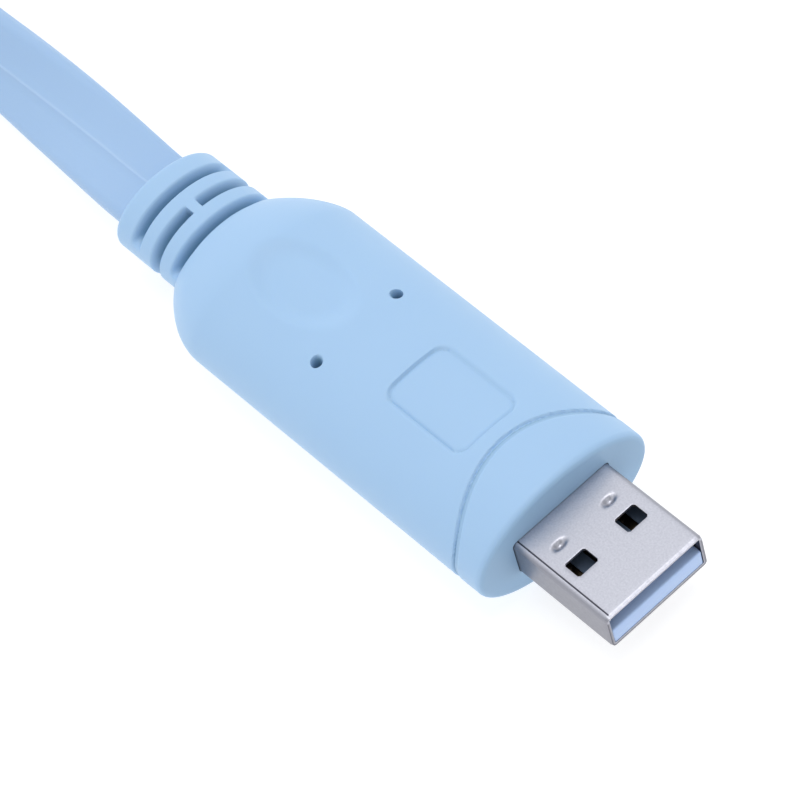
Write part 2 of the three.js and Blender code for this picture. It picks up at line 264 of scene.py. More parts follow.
def rounded_outline(width, height, radius, steps):
    """Points of a rectangle with round corners, anticlockwise from its right side."""
    points = []
    for corner in range(4):
        cx = (width / 2 - radius) * (1 if corner in (0, 3) else -1)
        cy = (height / 2 - radius) * (1 if corner in (0, 1) else -1)
        for i in range(steps + 1):
            angle = math.radians(90 * corner + 90 * i / steps)
            points.append((cx + radius * math.cos(angle), cy + radius * math.sin(angle)))
    return points


# Materials
def new_material(name, colour, roughness, metallic=0.0):
    material = bpy.data.materials.new(name)
    material.use_nodes = True
    tree = material.node_tree
    shader = tree.nodes["Principled BSDF"]
    shader.inputs["Base Color"].default_value = (*colour, 1)
    shader.inputs["Roughness"].default_value = roughness
    shader.inputs["Metallic"].default_value = metallic
    return material, tree, shader


def noise(tree, scale, detail=2.0, stretch=(1, 1, 1)):
    """Noise in the part's own coordinates, scale in features per metre."""
    coordinates = tree.nodes.new("ShaderNodeTexCoord")
    mapping = tree.nodes.new("ShaderNodeMapping")
    mapping.inputs["Scale"].default_value = stretch
    texture = tree.nodes.new("ShaderNodeTexNoise")
    texture.inputs["Scale"].default_value = scale
    texture.inputs["Detail"].default_value = detail
    tree.links.new(coordinates.outputs["Object"], mapping.inputs["Vector"])
    tree.links.new(mapping.outputs["Vector"], texture.inputs["Vector"])
    return texture.outputs["Fac"]


def spread(tree, value, low, high):
    """Maps 0.3 to 0.7 of a noise onto low to high."""
    mapped = tree.nodes.new("ShaderNodeMapRange")
    mapped.inputs["From Min"].default_value = 0.3
    mapped.inputs["From Max"].default_value = 0.7
    mapped.inputs["To Min"].default_value = low
    mapped.inputs["To Max"].default_value = high
    tree.links.new(value, mapped.inputs["Value"])
    return mapped.outputs["Result"]


def mix_colours(tree, factor, first, second):
    mixed = tree.nodes.new("ShaderNodeMix")
    mixed.data_type = "RGBA"
    mixed.inputs["A"].default_value = (*first, 1)
    mixed.inputs["B"].default_value = (*second, 1)
    tree.links.new(factor, mixed.inputs["Factor"])
    return mixed.outputs["Result"]


def add_bump(tree, shader, height, distance, strength=1.0):
    node = tree.nodes.new("ShaderNodeBump")
    node.inputs["Distance"].default_value = distance
    node.inputs["Strength"].default_value = strength
    tree.links.new(height, node.inputs["Height"])
    tree.links.new(node.outputs["Normal"], shader.inputs["Normal"])


def mix_painted_light(tree, attribute, colour_output, painted_shade_and_highlight):
    """Painted shade and highlight: mixes a colour towards a given colour where the mesh's named
    attribute is high.
    """
    source = tree.nodes.new("ShaderNodeAttribute")
    source.attribute_name = attribute
    mixed = tree.nodes.new("ShaderNodeMix")
    mixed.data_type = "RGBA"
    mixed.inputs["B"].default_value = (*painted_shade_and_highlight, 1)
    tree.links.new(source.outputs["Fac"], mixed.inputs["Factor"])
    tree.links.new(colour_output, mixed.inputs["A"])
    return mixed.outputs["Result"]


def set_attribute(obj, name, value_at):
    """Stores a number on each vertex, worked out from its place in millimetres."""
    attribute = obj.data.attributes.new(name, "FLOAT", "POINT")
    values = [value_at(*(c / MM for c in vertex.co)) for vertex in obj.data.vertices]
    attribute.data.foreach_set("value", values)


def moulded_plastic(name, colour, darker, roughness, grain=2600, painted_shade_and_highlight=None):
    """Matte moulded plastic: faint cloudy colour, a fine spark-eroded grain and uneven gloss, with
    painted shade and highlight mixed in by a mesh attribute when a colour for it is given.
    """
    material, tree, shader = new_material(name, colour, roughness)
    result = mix_colours(tree, noise(tree, 90), colour, darker)
    # Painted shade and highlight, by the vertex attribute the mesh stores.
    if painted_shade_and_highlight:
        result = mix_painted_light(tree, "painted_shade_and_highlight", result, painted_shade_and_highlight)
    tree.links.new(result, shader.inputs["Base Color"])
    gloss = spread(tree, noise(tree, 240), roughness - 0.04, roughness + 0.05)
    tree.links.new(gloss, shader.inputs["Roughness"])
    add_bump(tree, shader, noise(tree, grain), 0.00002, 0.35)
    shader.inputs["Specular IOR Level"].default_value = 0.4
    shader.inputs["Subsurface Weight"].default_value = 0.08
    shader.inputs["Subsurface Radius"].default_value = (0.0006, 0.0008, 0.0012)
    return material


def satin_nickel():
    """Plated sheet: finely grained and mottled, with painted shade on the plug's upright sides and on
    its lower front rim.
    """
    material, tree, shader = new_material("nickel_shell", (0.6, 0.6, 0.64), 0.3, 1.0)
    mottled = mix_colours(tree, noise(tree, 5200, 2.0), (0.61, 0.615, 0.67), (0.41, 0.415, 0.47))
    # Painted shade: faces that look along Y, the plug's upright sides, are mixed towards a darker
    # grey.
    geometry = tree.nodes.new("ShaderNodeNewGeometry")
    split = tree.nodes.new("ShaderNodeSeparateXYZ")
    tree.links.new(geometry.outputs["Normal"], split.inputs[0])
    upright = tree.nodes.new("ShaderNodeMath")
    upright.operation = "ABSOLUTE"
    tree.links.new(split.outputs["Y"], upright.inputs[0])
    shade = tree.nodes.new("ShaderNodeMix")
    shade.data_type = "RGBA"
    shade.inputs["B"].default_value = (0.3, 0.3, 0.34, 1)
    tree.links.new(upright.outputs[0], shade.inputs["Factor"])
    tree.links.new(mottled, shade.inputs["A"])
    # Painted shade on the lower front rim, from the vertex attribute that add_shell stores.
    result = mix_painted_light(tree, "painted_shade_and_highlight", shade.outputs["Result"], (0.06, 0.06, 0.08))
    tree.links.new(result, shader.inputs["Base Color"])
    tree.links.new(spread(tree, noise(tree, 3200, 3.0), 0.34, 0.44), shader.inputs["Roughness"])
    add_bump(tree, shader, noise(tree, 5000, 2.0), 0.000012, 0.3)
    return material


def gold_plate(name, bright, dull):
    material, tree, shader = new_material(name, bright, 0.22, 1.0)
    tree.links.new(mix_colours(tree, noise(tree, 1200), bright, dull), shader.inputs["Base Color"])
    gloss = spread(tree, noise(tree, 2000, 2, (0.1, 1, 1)), 0.15, 0.3)
    tree.links.new(gloss, shader.inputs["Roughness"])
    return material


def clear_plastic():
    material, tree, shader = new_material("clear_plastic", (0.93, 0.97, 0.99), 0.06)
    shader.inputs["Transmission Weight"].default_value = 0.96
    shader.inputs["IOR"].default_value = 1.49
    tree.links.new(spread(tree, noise(tree, 400), 0.03, 0.09), shader.inputs["Roughness"])
    add_bump(tree, shader, noise(tree, 500, 1.0), 0.00002, 0.2)
    return material


def woven_strap():
    """Hook-and-loop tape: dark, with a fine crossed weave."""
    material, tree, shader = new_material("dark_strap", (0.03, 0.035, 0.045), 0.85)
    coordinates = tree.nodes.new("ShaderNodeTexCoord")
    waves = []
    for direction in ("X", "Y"):
        wave = tree.nodes.new("ShaderNodeTexWave")
        wave.bands_direction = direction
        wave.inputs["Scale"].default_value = 420
        wave.inputs["Distortion"].default_value = 1.5
        tree.links.new(coordinates.outputs["Object"], wave.inputs["Vector"])
        waves.append(wave.outputs["Fac"])
    both = tree.nodes.new("ShaderNodeMath")
    both.operation = "MULTIPLY"
    tree.links.new(waves[0], both.inputs[0])
    tree.links.new(waves[1], both.inputs[1])
    weave = mix_colours(tree, both.outputs[0], (0.018, 0.02, 0.026), (0.07, 0.078, 0.095))
    tree.links.new(weave, shader.inputs["Base Color"])
    add_bump(tree, shader, both.outputs[0], 0.00015, 0.8)
    shader.inputs["Sheen Weight"].default_value = 0.3
    return material


def wire_plastic(name, colour):
    return moulded_plastic(name, colour, tuple(c * 0.85 for c in colour), 0.45)


# Its last colour is painted shade for the grooves, pinholes, front line, panel line, front face and
# round the plug.
BLUE = moulded_plastic(
    "blue_moulding", (0.39, 0.595, 0.84), (0.375, 0.575, 0.82), 0.42, painted_shade_and_highlight=(0.055, 0.18, 0.25)
)
# Its last colour is a painted highlight for the cable's raised middle line.
CABLE_BLUE = moulded_plastic(
    "blue_cable", (0.37, 0.55, 0.80), (0.355, 0.53, 0.78), 0.46, painted_shade_and_highlight=(0.6, 0.76, 0.98)
)
# Its last colour is painted shade for the insulator inside the shell.
TONGUE_BLUE = moulded_plastic(
    "blue_insulator", (0.49, 0.65, 0.96), (0.47, 0.63, 0.94), 0.35, painted_shade_and_highlight=(0.02, 0.03, 0.04)
)
NICKEL = satin_nickel()
GOLD = gold_plate("gold_contacts", (0.86, 0.6, 0.24), (0.7, 0.44, 0.14))
# A darker copy of the gold: painted shade for the contacts, which sit in the shell's shadow.
SHADED_GOLD = gold_plate("gold_painted_shade", (0.2, 0.15, 0.1), (0.13, 0.1, 0.07))
CLEAR = clear_plastic()
STRAP = woven_strap()


# Camera first: the cord's spread is judged by what it sees
def add_camera():
    data = bpy.data.cameras.new("camera")
    data.lens = LENS_MM
    data.sensor_width = SENSOR_MM
    data.clip_start = 0.01
    data.clip_end = 20
    camera = bpy.data.objects.new("camera", data)
    bpy.context.scene.collection.objects.link(camera)
    place = Vector(CAMERA_PLACE) * MM
    aim = Vector(CAMERA_AIM) * MM
    facing = (aim - place).to_track_quat("-Z", "Y")
    roll = Quaternion((0, 0, 1), math.radians(CAMERA_ROLL))
    camera.matrix_world = Matrix.Translation(place) @ (facing @ roll).to_matrix().to_4x4()
    bpy.context.scene.camera = camera


# The cable's route: points along it in millimetres, each with its turn about the line, in degrees
EXIT = (REAR_X, 0.0, 5.3)
LEAD = [
    ((REAR_X + 2.5, 0.0, 5.3), 0),
    ((REAR_X - 0.3, 0.0, 5.3), 0),
    ((-39.6, 0.09, 5.19), -4.5),
    ((-45.3, 0.45, 4.89), -13.5),
    ((-51, 0.83, 4.51), -23.8),
    ((-56.75, 1.11, 4.2), -33.5),
    ((-62.5, 1.3, 4.0), -42),
    ((-68.2, 1.4, 3.92), -50),
    ((-73.5, 1.6, 4.13), -56.5),
    ((-79, 2.15, 4.3), -63),
    ((-87, 3.65, 4.52), -74),
    ((-96, 5.8, 4.62), -83),
    ((-105, 7.7, 4.62), -89),
    ((-114, 8.9, 4.62), -90),
    ((-122, 9.55, 4.62), -90),
    ((-133.5, 9.8, 4.62), -90),
]
TAIL = [
    ((-133.5, -10.0, 4.62), -90),
    ((-140, -10.95, 4.62), -90),
    ((-146.5, -12.85, 4.62), -90),
    ((-151.5, -14.9, 4.62), -88),
    ((-157, -17.9, 4.62), -76),
    ((-163, -21.2, 4.6), -54),
    ((-169, -23.8, 4.3), -28),
    ((-174, -25.2, 3.85), -9),
    ((PLUG_REAR_X + 2, HANK_Y, ENTRY_HEIGHT), 0),
    ((PLUG_REAR_X - 6.4, HANK_Y, ENTRY_HEIGHT), 0),
]


def curve_between(points, steps):
    """A centripetal curve through (place, turn) points, steps samples for each stretch."""
    places = [Vector(p) for p, _ in points]
    turns = [a for _, a in points]
    ends = [2 * places[0] - places[1], *places, 2 * places[-1] - places[-2]]
    samples = []
    for i in range(len(places) - 1):
        p0, p1, p2, p3 = ends[i : i + 4]
        d0, d1, d2 = ((b - a).length ** 0.5 for a, b in ((p0, p1), (p1, p2), (p2, p3)))
        m1 = ((p1 - p0) / d0 - (p2 - p0) / (d0 + d1) + (p2 - p1) / d1) * d1
        m2 = ((p2 - p1) / d1 - (p3 - p1) / (d1 + d2) + (p3 - p2) / d2) * d1
        for k in range(steps):
            t = k / steps
            place = (
                (2 * t**3 - 3 * t**2 + 1) * p1
                + (t**3 - 2 * t**2 + t) * m1
                + (-2 * t**3 + 3 * t**2) * p2
                + (t**3 - t**2) * m2
            )
            samples.append((place, turns[i] + (turns[i + 1] - turns[i]) * t))
    samples.append((places[-1], turns[-1]))
    return samples


def tie_lift(x, y):
    """How far the turns rise where they pass over the strap."""
    if y > HANK_Y:
        return 0.0
    return TIE_LIFT * (1 - smoothstep(7, 28, abs(x - TIE_X)))


def hank_samples():
    """The six turns: two straight runs and two round ends, moving inwards a pitch a turn."""
    walk = []
    run_steps = 12
    bend_steps = 36
    for _ in range(HANK_TURNS):
        walk += [("far", i / run_steps) for i in range(run_steps)]
        walk += [("rear", i / bend_steps) for i in range(bend_steps)]
        walk += [("near", i / run_steps) for i in range(run_steps)]
        walk += [("front", i / bend_steps) for i in range(bend_steps)]
    samples = []
    travelled = 0.0
    turn_length = 2 * HANK_RUN + 2 * math.pi * (OUTER_TURN_RADIUS - HANK_TURNS * TURN_PITCH / 2)
    total = turn_length * HANK_TURNS
    last = None
    for part, t in walk:
        radius = OUTER_TURN_RADIUS - HANK_TURNS * TURN_PITCH * min(travelled / total, 1.0)
        if part == "far":
            x, y = HANK_FRONT_X - t * HANK_RUN, HANK_Y + radius
        elif part == "rear":
            angle = math.pi / 2 + t * math.pi
            x = HANK_FRONT_X - HANK_RUN + radius * math.cos(angle)
            y = HANK_Y + radius * math.sin(angle)
        elif part == "near":
            x, y = HANK_FRONT_X - HANK_RUN + t * HANK_RUN, HANK_Y - radius
        else:
            angle = -math.pi / 2 + t * math.pi
            x = HANK_FRONT_X + radius * math.cos(angle)
            y = HANK_Y + radius * math.sin(angle)
        place = Vector((x, y, ON_EDGE_Z + tie_lift(x, y)))
        if last is not None:
            travelled += (place - last).length
        last = place
        samples.append((place, -90))
    return samples


def cable_section():
    """Across the cable: round edges and a fine raised line in the middle of both faces."""
    points = rounded_outline(CABLE_WIDTH, CABLE_THICKNESS, CABLE_EDGE, 6)
    flat_x = CABLE_WIDTH / 2 - CABLE_EDGE
    ridge = [
        (flat_x * 0.7, 0.0),
        (flat_x * 0.3, 0.0),
        (0.16, 0.0),
        (0.09, 0.045),
        (0.0, RIDGE_HEIGHT),
        (-0.09, 0.045),
        (-0.16, 0.0),
        (-flat_x * 0.3, 0.0),
        (-flat_x * 0.7, 0.0),
    ]
    top = [(x, CABLE_THICKNESS / 2 + rise) for x, rise in ridge]
    bottom = [(-x, -y) for x, y in top]
    return points[:7] + top + points[7:21] + bottom + points[21:]


def add_cable():
    samples = curve_between(LEAD, 10)[:-1] + hank_samples() + curve_between(TAIL, 8)
    section = cable_section()
    vertices = []
    up = Vector((0, 0, 1))
    for i, (place, turn) in enumerate(samples):
        before = samples[max(i - 1, 0)][0]
        after = samples[min(i + 1, len(samples) - 1)][0]
        tangent = (after - before).normalized()
        left = up.cross(tangent).normalized()
        over = tangent.cross(left)
        angle = math.radians(turn)
        across = left * math.cos(angle) + over * math.sin(angle)
        through = over * math.cos(angle) - left * math.sin(angle)
        vertices += [place + across * x + through * y for x, y in section]
    faces = ring_faces(len(samples), len(section))
    faces = [tuple(reversed(f)) for f in faces]
    nodes = ("cable_lead", "cable_hank", "cable_tail")
    cable = make_object("flat_cable", vertices, faces, CABLE_BLUE, "blue_cable", nodes)
    # Painted highlight: the top of the raised middle line is mixed towards a lighter blue.
    raised = [abs(x) < 0.1 and y > 0 for x, y in section]
    attribute = cable.data.attributes.new("painted_shade_and_highlight", "FLOAT", "POINT")
    values = [RIDGE_PAINTED_HIGHLIGHT if up_here else 0.0 for up_here in raised] * len(samples)
    attribute.data.foreach_set("value", values)
    return cable, [place * MM for place, _ in samples]


# Converter housing
def polar(half_width, half_height, angle):
    """How far an ellipse's edge is from its centre in one direction."""
    return 1 / math.hypot(math.cos(angle) / half_width, math.sin(angle) / half_height)


def groove_share(x, y, z):
    """How deep the relief's grooves are here, from 0 to 1."""
    behind = DOME_X - x
    for index, start in enumerate(GROOVE_STARTS):
        across = (behind - start) / GROOVE_WIDTH
        if not 0 < across < 1:
            continue
        wall = smoothstep(0, 0.1, across) * (1 - smoothstep(0.35, 0.9, across))
        if index % 2 == 0:
            return wall * smoothstep(SIDE_LAND - 0.2, SIDE_LAND + 0.7, abs(z))
        return wall * smoothstep(TOP_BRIDGE - 0.1, TOP_BRIDGE + 0.2, abs(y - BRIDGE_Y))
    return 0.0


def rounded_box_distance(x, y, half_x, half_y, corner):
    """Signed distance to a rectangle with round corners, below zero inside."""
    dx = abs(x) - half_x + corner
    dy = abs(y) - half_y + corner
    return math.hypot(max(dx, 0), max(dy, 0)) + min(max(dx, dy), 0) - corner


def front_line(x, z):
    """Depth of the line across the front of the housing, and of the shallow band ahead of it."""
    line = CAP_LINE_SIDE + CAP_LINE_SWEEP * (max(abs(z) - 1, 0) / 5) ** CAP_LINE_POWER
    ahead = line - (FRONT_X - x)
    if not 0 <= ahead <= CAP_BAND + 0.1:
        return 0.0
    lip = smoothstep(0, 0.07, ahead)
    deep = CAP_LINE_DEPTH * (1 - smoothstep(CAP_LINE_WIDTH, CAP_LINE_WIDTH + 0.2, ahead))
    band = CAP_BAND_DEPTH * (1 - smoothstep(CAP_BAND - 0.2, CAP_BAND + 0.1, ahead))
    return lip * max(deep, band)


def panel_distance(x, y):
    behind = FRONT_X - x - PANEL_FROM_FRONT
    half_length, half_width = PANEL_SIZE[0] / 2, PANEL_SIZE[1] / 2
    return rounded_box_distance(behind, y - PANEL_Y, half_length, half_width, PANEL_CORNER)


def panel_line(x, y, z):
    """1 on the fine line that runs round inside the panel's edge."""
    return max(1 - abs(panel_distance(x, y) + PANEL_LINE) / PANEL_LINE, 0) if z > 0 else 0.0


def top_drop(x, y, z):
    """How far the top surface sinks: panel, thumb dish and the line across the front."""
    drop = front_line(x, z)
    if z > 0:
        drop += PANEL_DEPTH * (1 - smoothstep(-0.14, 0.06, panel_distance(x, y)))
        drop += PANEL_LINE_DEPTH * panel_line(x, y, z)
        along = (FRONT_X - x - DISH_FROM_FRONT) / (DISH_SIZE[0] / 2)
        drop += DISH_DEPTH * (1 - smoothstep(0.35, 1.1, along**2 + (2 * y / DISH_SIZE[1]) ** 2))
    return drop


def front_pull(x, up):
    """How far the front edge is rounded in: softly on top, more tightly below."""
    radius = FRONT_FILLET_BELOW + (FRONT_FILLET - FRONT_FILLET_BELOW) * smoothstep(-0.3, 0.5, up)
    along = (x - FRONT_X + radius) / radius
    if along <= 0:
        return 0.0
    return radius * (1 - math.sqrt(max(1 - along**2, 0)))


def dome_share(x, up):
    """How much of the full outline the rear dome has here: it falls off sooner on top."""
    top = smoothstep(-0.4, 0.4, up)
    length = DOME_LENGTH + (DOME_TOP_LENGTH - DOME_LENGTH) * top
    power = DOME_POWER + (DOME_TOP_POWER - DOME_POWER) * top
    return math.sqrt(max(1 - (max(DOME_X - x, 0) / length) ** power, 0.0004))


def housing_ring(x):
    """One ring of the outside, with every relief feature in it."""
    ring = []
    along_body = min(max((x - DOME_X) / HOUSING_LENGTH, 0), 1)
    half_width = REAR_HALF_WIDTH + (HALF_WIDTH - REAR_HALF_WIDTH) * along_body
    rear_pull = 0.0
    if x < REAR_X + RELIEF_FILLET:
        along = (REAR_X + RELIEF_FILLET - x) / RELIEF_FILLET
        rear_pull = RELIEF_FILLET * (1 - math.sqrt(max(1 - along**2, 0)))
    for j in range(SIDES):
        turn = 2 * math.pi * j / SIDES
        angle = math.atan2(HALF_HEIGHT * math.sin(turn), HALF_WIDTH * math.cos(turn))
        pulled = front_pull(x, math.sin(angle))
        dome = dome_share(x, math.sin(turn))
        body = polar(half_width * dome - pulled, HALF_HEIGHT * dome - pulled, angle)
        reach = body
        if x < DOME_X:
            pull = rear_pull
            edge = polar(RELIEF_HALF_WIDTH - pull, RELIEF_HALF_HEIGHT - pull, angle)
            y, z = edge * math.cos(angle), edge * math.sin(angle)
            pull += GROOVE_DEPTH * groove_share(x, y, z)
            relief = polar(RELIEF_HALF_WIDTH - pull, RELIEF_HALF_HEIGHT - pull, angle)
            reach = max(body, relief)
            if DOME_X - x > GROOVE_STARTS[0]:
                reach = relief
        y, z = reach * math.cos(angle), reach * math.sin(angle)
        drop = top_drop(x, y, z)
        if drop:
            normal = Vector((y / HALF_WIDTH**2, z / HALF_HEIGHT**2)).normalized()
            y -= normal.x * drop
            z -= normal.y * drop
        ring.append((x, y, AXIS_Z + z))
    return ring


def matched_outline(width, height, radius, x):
    """A ring of SIDES points on a rounded rectangle, in the directions of the housing's rings."""
    ring = []
    for j in range(SIDES):
        turn = 2 * math.pi * j / SIDES
        angle = math.atan2(HALF_HEIGHT * math.sin(turn), HALF_WIDTH * math.cos(turn))
        c, s = math.cos(angle), math.sin(angle)
        low, high = 0.0, width
        for _ in range(28):
            middle = (low + high) / 2
            inside = rounded_box_distance(middle * c, middle * s, width / 2, height / 2, radius) < 0
            low, high = (middle, high) if inside else (low, middle)
        ring.append((x, low * c, AXIS_Z + low * s))
    return ring


def blend_rings(first, second, share):
    return [tuple(a + (b - a) * share for a, b in zip(p, q)) for p, q in zip(first, second)]


def housing_stations():
    """Places of the rings along X, closer together where there is fine relief."""
    stretches = [
        (REAR_X + RELIEF_FILLET, DOME_X - GROOVE_STARTS[0] + 0.3, 0.12),
        (DOME_X - GROOVE_STARTS[0] + 0.3, DOME_X, 0.4),
        (DOME_X, FRONT_X - 21, 0.42),
        (FRONT_X - 21, FRONT_X - 8.4, 0.11),
        (FRONT_X - 8.4, FRONT_X - 2.6, 0.1),
        (FRONT_X - 2.6, FRONT_X - FRONT_FILLET, 0.25),
    ]
    stations = []
    for low, high, step in stretches:
        count = max(round((high - low) / step), 1)
        stations += [low + (high - low) * i / count for i in range(count)]
    fillet = [math.sin(math.pi / 2 * i / 10) for i in range(11)]
    stations += [FRONT_X - FRONT_FILLET + FRONT_FILLET * share for share in fillet]
    rear = [math.sin(math.pi / 2 * i / 6) for i in range(6, 0, -1)]
    return [REAR_X + RELIEF_FILLET - RELIEF_FILLET * share for share in rear] + stations


def add_housing():
    outside = [housing_ring(x) for x in housing_stations()]
    entry = matched_outline(CABLE_WIDTH + 0.06, CABLE_THICKNESS + 0.3, CABLE_EDGE, REAR_X)
    entry = [(x, y, z - AXIS_Z + EXIT[2]) for x, y, z in entry]
    entry_end = [(x + 3.0, y, z) for x, y, z in entry]
    mouth = matched_outline(SHELL_WIDTH + 0.12, SHELL_HEIGHT + 0.12, SHELL_CORNER, FRONT_X)
    mouth_end = [(x - SHELL_HIDDEN - 0.3, y, z) for x, y, z in mouth]
    rear_face = [blend_rings(entry, outside[0], share) for share in (0.04, 0.35, 0.7)]
    front_face = [blend_rings(outside[-1], mouth, share) for share in (0.08, 0.4, 0.75, 0.97)]
    rings = [entry_end, entry, *rear_face, *outside, *front_face, mouth, mouth_end]
    vertices = [v for ring in rings for v in ring]
    faces = ring_faces(len(rings), SIDES)
    housing = make_object("converter_housing", vertices, faces, BLUE, "blue_moulding", ("housing",))
    for side in (-1, 1):
        cut(housing, pinhole_cutter(side * PINHOLE_Y))
    auto_smooth(housing, 50)
    # Painted shade in the grooves, pinholes and lines, on the front face and round the plug.
    set_attribute(housing, "painted_shade_and_highlight", housing_painted_shade)


def housing_painted_shade(x, y, z):
    """How much shade is painted on a place of the housing: in the grooves, the pinholes, the front
    line and the panel line, on the front face and round the plug.
    """
    z -= AXIS_Z
    if REAR_X < x < DOME_X - GROOVE_STARTS[0] + 0.05:
        angle = math.atan2(z, y)
        depth = polar(RELIEF_HALF_WIDTH, RELIEF_HALF_HEIGHT, angle) - math.hypot(y, z)
        return GROOVE_PAINTED_SHADE * smoothstep(0.15, 1.5, depth)
    if x > FRONT_X - 0.05:
        beside = rounded_box_distance(y, z, SHELL_WIDTH / 2, SHELL_HEIGHT / 2, SHELL_CORNER)
        return FACE_PAINTED_SHADE + CONTACT_PAINTED_SHADE * (1 - smoothstep(0, 1.6, beside))
    if x > FRONT_X - FRONT_FILLET:
        return FACE_PAINTED_SHADE * smoothstep(FRONT_X - 0.25, FRONT_X - 0.1, x)
    from_hole = math.hypot(FRONT_X - PINHOLE_FROM_FRONT - x, abs(y) - PINHOLE_Y)
    if from_hole < PINHOLE_RADIUS + 0.04 and z > 0:
        below = HALF_HEIGHT * math.sqrt(1 - (y / HALF_WIDTH) ** 2) - z
        return HOLE_PAINTED_SHADE * smoothstep(0.1, 0.6, below)
    cap_line_shade = CAP_LINE_PAINTED_SHADE * smoothstep(0.05, 0.24, front_line(x, z))
    return cap_line_shade + PANEL_LINE_PAINTED_SHADE * panel_line(x, y, z)


def pinhole_cutter(y):
    surface = AXIS_Z + HALF_HEIGHT * math.sqrt(1 - (y / HALF_WIDTH) ** 2)
    x = FRONT_X - PINHOLE_FROM_FRONT
    sides = 40
    rims = [
        (PINHOLE_RADIUS * 0.9, surface - PINHOLE_DEPTH),
        (PINHOLE_RADIUS, surface - PINHOLE_DEPTH + 0.2),
        (PINHOLE_RADIUS, surface - 0.25),
        (PINHOLE_RADIUS + 0.5, surface + 0.75),
    ]
    vertices = []
    for radius, z in rims:
        for j in range(sides):
            angle = 2 * math.pi * j / sides
            vertices.append((x + radius * math.cos(angle), y + radius * math.sin(angle), z))
    return loose_mesh("pinhole", vertices, ring_faces(len(rims), sides))


# USB-A plug
def shell_outline():
    """Perimeter stations of the shell: place and outward direction, with stations on the seam."""
    half_y, half_z = SHELL_WIDTH / 2, SHELL_HEIGHT / 2
    corner = SHELL_CORNER
    points = []

    def straight(start, end, normal, marks):
        cuts = sorted({0.0, 1.0, *marks})
        for a, b in zip(cuts, cuts[1:]):
            count = max(math.floor((b - a) * math.dist(start, end) / 0.31), 1)
            for i in range(count):
                t = a + (b - a) * i / count
                points.append((tuple(s + (e - s) * t for s, e in zip(start, end)), normal))

    def bend(centre, from_degrees):
        for i in range(6):
            angle = math.radians(from_degrees + 90 * i / 6)
            normal = (math.cos(angle), math.sin(angle))
            place = tuple(c + corner * n for c, n in zip(centre, normal))
            points.append((place, normal))

    flat_y, flat_z = half_y - corner, half_z - corner
    offsets = (-WINDOW_WIDTH / 2, WINDOW_CORNER - WINDOW_WIDTH / 2)
    window_ys = [
        side * WINDOW_Y + turn * offset for side in (-1, 1) for offset in offsets for turn in (-1, 1)
    ]
    window_edges = [(y + flat_y) / (2 * flat_y) for y in window_ys]
    seam_edges = [(flat_y - SEAM_Y + shift) / (2 * flat_y) for shift in (-0.08, 0, 0.08)]
    straight((half_y, -flat_z), (half_y, flat_z), (1, 0), [])
    bend((flat_y, flat_z), 0)
    top_marks = [1 - m for m in window_edges] + seam_edges
    straight((flat_y, half_z), (-flat_y, half_z), (0, 1), top_marks)
    bend((-flat_y, flat_z), 90)
    straight((-half_y, flat_z), (-half_y, -flat_z), (-1, 0), [0.02, 0.06])
    bend((-flat_y, -flat_z), 180)
    straight((-flat_y, -half_z), (flat_y, -half_z), (0, -1), window_edges)
    bend((flat_y, -flat_z), 270)
    return points


def shell_stations():
    window_low = TIP_X - WINDOW_FROM_TIP - WINDOW_LENGTH
    window_high = TIP_X - WINDOW_FROM_TIP
    marks = [TIP_X - SHELL_LENGTH - SHELL_HIDDEN, FRONT_X - 0.5, window_low - 3.2, window_low]
    marks += [window_low + WINDOW_CORNER, window_high - WINDOW_CORNER, window_high, TIP_X - 0.4, TIP_X]
    steps = [1.5, 0.4, 0.15, 0.3, 0.35, 0.3, 0.35, 0.1]
    stations = []
    for low, high, step in zip(marks, marks[1:], steps):
        count = max(round((high - low) / step), 1)
        stations += [low + (high - low) * i / count for i in range(count)]
    return stations + [TIP_X]


def window_part(x, y):
    """None outside the windows, 0 in their open part, a corner's direction (x, y) in a corner."""
    from_x = x - (TIP_X - WINDOW_FROM_TIP - WINDOW_LENGTH / 2)
    from_y = y - math.copysign(WINDOW_Y, y)
    if abs(from_x) > WINDOW_LENGTH / 2 or abs(from_y) > WINDOW_WIDTH / 2:
        return None
    end_zone = abs(from_x) > WINDOW_LENGTH / 2 - WINDOW_CORNER
    side_zone = abs(from_y) > WINDOW_WIDTH / 2 - WINDOW_CORNER
    if end_zone and side_zone:
        return (math.copysign(1, from_x), math.copysign(1, from_y))
    return 0


def dimple(x, y):
    centre = TIP_X - WINDOW_FROM_TIP - WINDOW_LENGTH - DIMPLE_BEHIND
    away = math.hypot((x - centre) / DIMPLE_REACH[0], (abs(y) - WINDOW_Y) / DIMPLE_REACH[1])
    return DIMPLE_DEPTH * (1 - smoothstep(0.4, 1.0, away))


